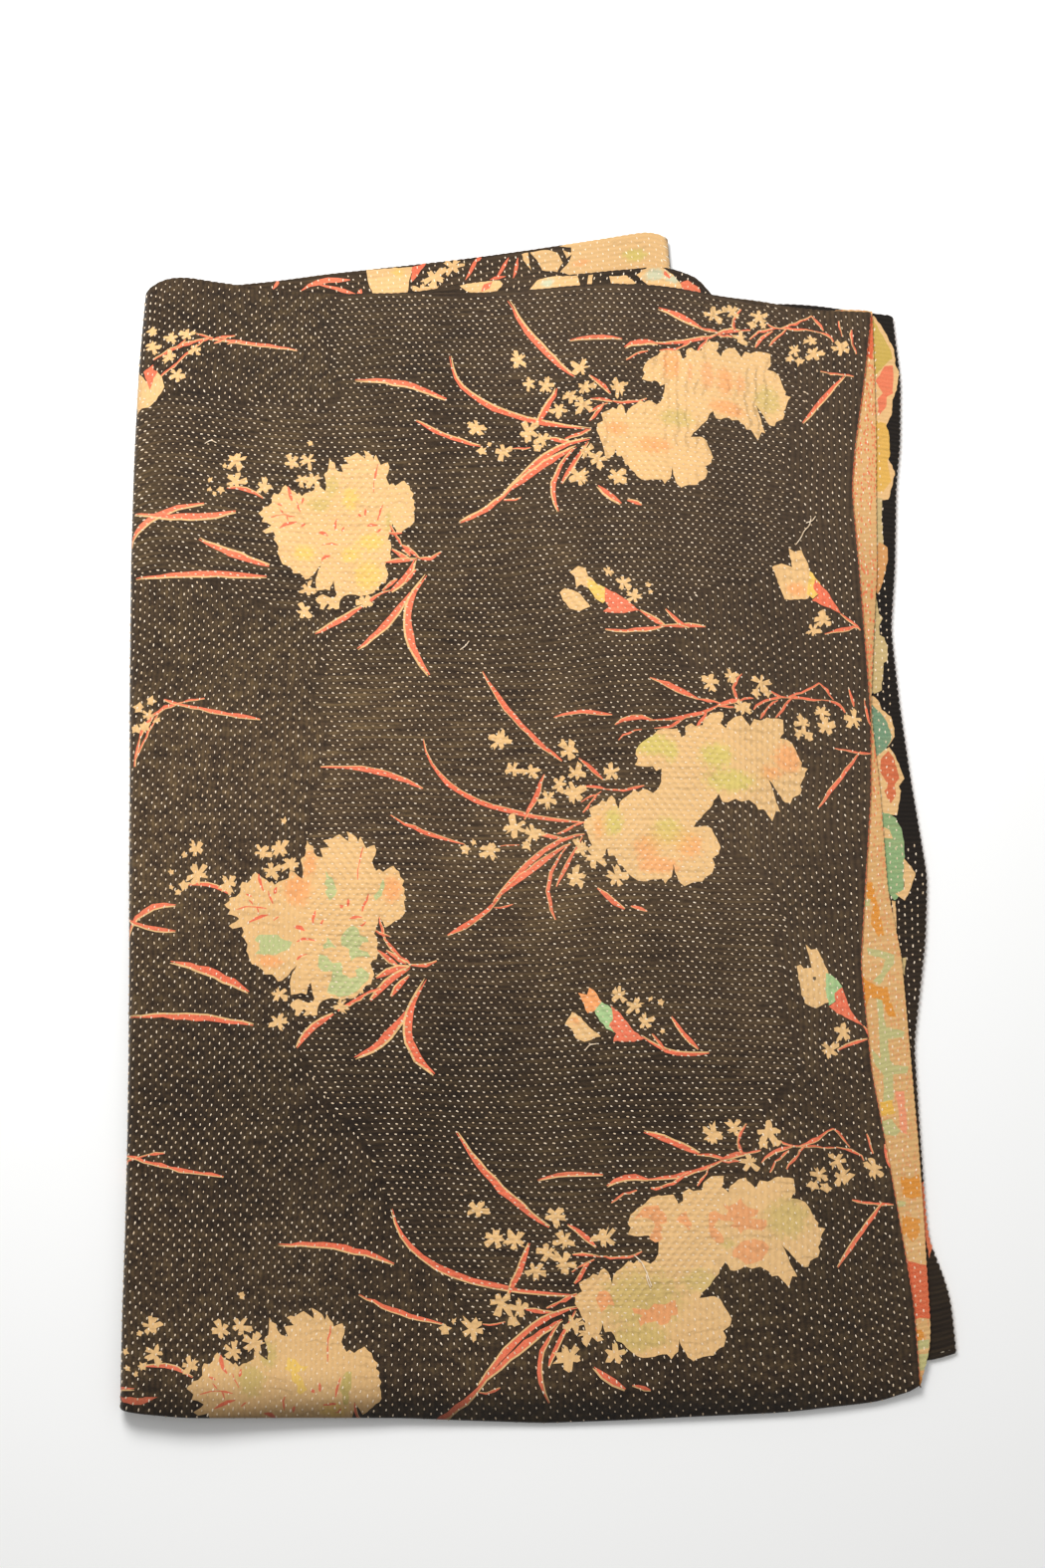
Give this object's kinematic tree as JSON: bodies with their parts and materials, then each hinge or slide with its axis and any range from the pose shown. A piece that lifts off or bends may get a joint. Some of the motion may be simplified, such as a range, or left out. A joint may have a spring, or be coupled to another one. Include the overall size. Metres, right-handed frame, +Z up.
{
  "type": "folded kantha quilt",
  "caption": "Kantha quilt of two printed cotton cloths, folded in half three times into eight layers and laid flat.",
  "frame": {"origin": "middle of the folded quilt's box, on the surface that it lies on", "axes": "+Z up, +Y along the long side towards the top hems, +X towards the right hems"},
  "size_m": [0.8144, 1.2234, 0.0252],
  "materials": {
    "front_cloth": "matte printed cotton, dark brown ground with cream, coral and green flowers",
    "back_cloth": "matte printed cotton, pale peach and cream"
  },
  "bodies": {
    "root": {"front_cloth": "front_cloth", "back_cloth": "back_cloth"}
  },
  "joints": []
}
